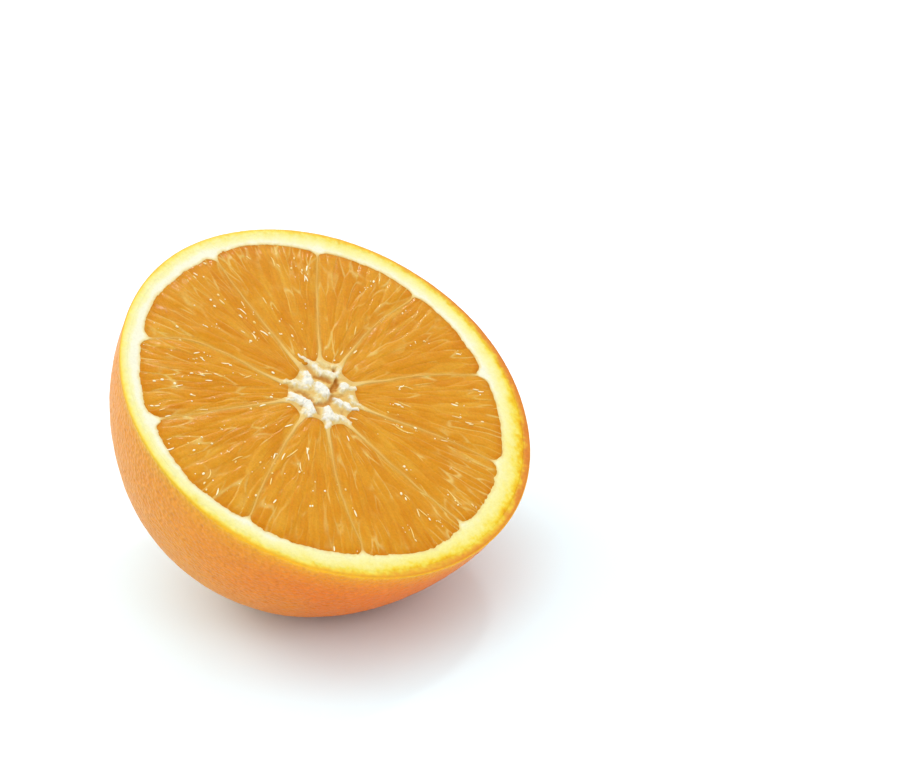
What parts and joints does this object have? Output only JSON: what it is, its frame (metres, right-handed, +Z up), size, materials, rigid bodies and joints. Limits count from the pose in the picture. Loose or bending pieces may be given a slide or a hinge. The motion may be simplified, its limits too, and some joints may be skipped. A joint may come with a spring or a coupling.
{
  "type": "orange half",
  "caption": "Half of an orange, cut across its core and leaning back, with rind, pith and pulp segments showing on the cut face.",
  "frame": {"origin": "centre of the small flat spot that the fruit rests on", "axes": "+Z up, the cut face leans toward +X and -Y, seen in the picture from -Y"},
  "size_m": [0.0771, 0.0779, 0.0572],
  "materials": {
    "rind": "waxy orange skin with fine pores",
    "pith": "soft cream pith",
    "pulp": "wet translucent pulp"
  },
  "bodies": {
    "root": {"rind": "rind", "pith": "pith", "segment_01": "pulp", "segment_02": "pulp", "segment_03": "pulp", "segment_04": "pulp", "segment_05": "pulp", "segment_06": "pulp", "segment_07": "pulp", "segment_08": "pulp", "segment_09": "pulp", "segment_10": "pulp"}
  },
  "joints": []
}
